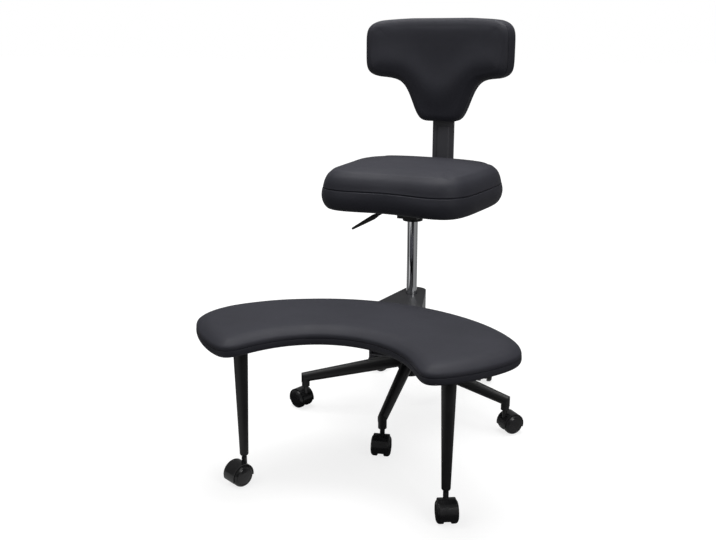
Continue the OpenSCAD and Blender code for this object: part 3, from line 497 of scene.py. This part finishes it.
cushion("back_cushion_cover", bend_back(cover.reshape(-1, 3)), len(cover), "seat", "back_cushion")

# Camera.
# It stands where the photo's did: right of the chair's middle line and a little above the back, turned down
# and slightly aside.
CAMERA_DISTANCE, CAMERA_HEIGHT = 2.10727, 0.92676
AZIMUTH, YAW, PITCH = math.radians(15.8), math.radians(3.63), math.radians(14.96)
FOCAL_PIXELS, PHOTO_WIDTH, SENSOR = 878.97, 716, 36
camera = bpy.data.objects.new("camera", bpy.data.cameras.new("camera"))
camera.location = (math.sin(AZIMUTH) * CAMERA_DISTANCE, -math.cos(AZIMUTH) * CAMERA_DISTANCE, CAMERA_HEIGHT)
camera.rotation_euler = (math.pi / 2 - PITCH, 0, AZIMUTH + YAW)
camera.data.sensor_width = SENSOR
camera.data.lens = FOCAL_PIXELS * SENSOR / PHOTO_WIDTH
camera.data.clip_end = 60
scene.collection.objects.link(camera)
scene.camera = camera
scene.view_settings.view_transform = "Standard"

# Floor and room.
# A plain floor and room that the camera sees as white, with the object's soft shadow. Shiny surfaces see the
# floor as dark and light cards instead, which give the chrome its stripes: each card starts or ends between
# two angles from the camera's direction, and changes the brightness.
FLOOR, PLAIN_GLOW = 30.0, 0.42
CARDS = ((-0.56, -0.46, -0.5), (-1.42, -1.24, 0.5), (0.42, 0.6, 0.25), (1.5, 1.8, -0.12), (2.0, 2.3, 0.3),
         (-2.1, -1.9, -0.4))


def light_path(tree, ray):
    """1 for rays of that kind, 0 for others."""
    return add_node(tree, "ShaderNodeLightPath", {}, {}, ray)


white = Finish("floor_white", (0.3, 0.3, 0.3), 0.9, spec=0.0)
x, y = [white.node("ShaderNodeSeparateXYZ", {}, {0: white.place}, axis) for axis in (0, 1)]
# to the camera it glows by 0.8 within 0.4 m of the column, where the shadow shows, and by 1 beyond 2.2 m
away = (x * x + y * y).math("SQRT").step(0.4, 2.2)
white.bsdf.inputs["Emission Color"].default_value = (1, 1, 1, 1)
white.feed("Emission Strength", light_path(white.tree, "Is Camera Ray") * (away * 0.2 + 0.8))
white.rough(white.noise(3, 2) * 0.05 + 0.9)
# the angle round the column from the camera's direction, and what shiny surfaces see there
aside, ahead = math.sin(AZIMUTH + YAW), math.cos(AZIMUTH + YAW)
turn = (x * ahead + y * aside).math("ARCTAN2", x * aside - y * ahead)
glow = PLAIN_GLOW
for start, end, change in CARDS:
    glow = turn.step(start, end) * change + glow
card = white.node("ShaderNodeEmission", {}, {"Strength": glow})
shaders = {0: light_path(white.tree, "Is Glossy Ray"), 1: Socket(white.tree, white.bsdf.outputs[0]), 2: card}
seen = white.node("ShaderNodeMixShader", {}, shaders)
white.tree.links.new(seen.out, white.tree.nodes["Material Output"].inputs["Surface"])
corners = np.array([[-FLOOR, -FLOOR, 0], [FLOOR, -FLOOR, 0], [FLOOR, FLOOR, 0], [-FLOOR, FLOOR, 0]])
floor = mesh_object("floor", corners, [[0, 1, 2, 3]])
floor.data.materials.append(white.mat)

# the room is white to the camera and dim to every other ray, so that the softboxes do the lighting
world = bpy.data.worlds.new("white_room")
scene.world = world
world.use_nodes = True
room = world.node_tree
background = room.nodes["Background"]
background.inputs["Color"].default_value = (1, 1, 1, 1)
room.links.new((light_path(room, "Is Camera Ray") * 0.82 + 0.18).out, background.inputs["Strength"])


# Lights.
# Three softboxes: a wide one overhead does most of the work, and two weaker ones from the front left and the
# front right lift the cushions' sides and the legs.
def softbox(name, size, power, place, target):
    """A rectangular area light at place, turned to face target."""
    lamp = bpy.data.objects.new(name, bpy.data.lights.new(name, "AREA"))
    lamp.data.shape, lamp.data.size, lamp.data.size_y = "RECTANGLE", size[0], size[1]
    lamp.data.energy = power
    x, y, z = np.array(target) - np.array(place)
    lamp.location = place
    lamp.rotation_euler = (math.atan2(math.hypot(x, y), -z), 0, math.atan2(y, x) - math.pi / 2)
    scene.collection.objects.link(lamp)


softbox("key_softbox", (1.8, 1.8), 20, (-1.3, -1.5, 2.7), (0, -0.1, 0.6))
softbox("top_softbox", (1.9, 1.6), 80, (-0.05, 0.15, 3.0), (0, -0.2, 0.4))
softbox("fill_softbox", (1.2, 1.6), 25, (2.2, -1.7, 1.9), (0, 0.1, 0.8))
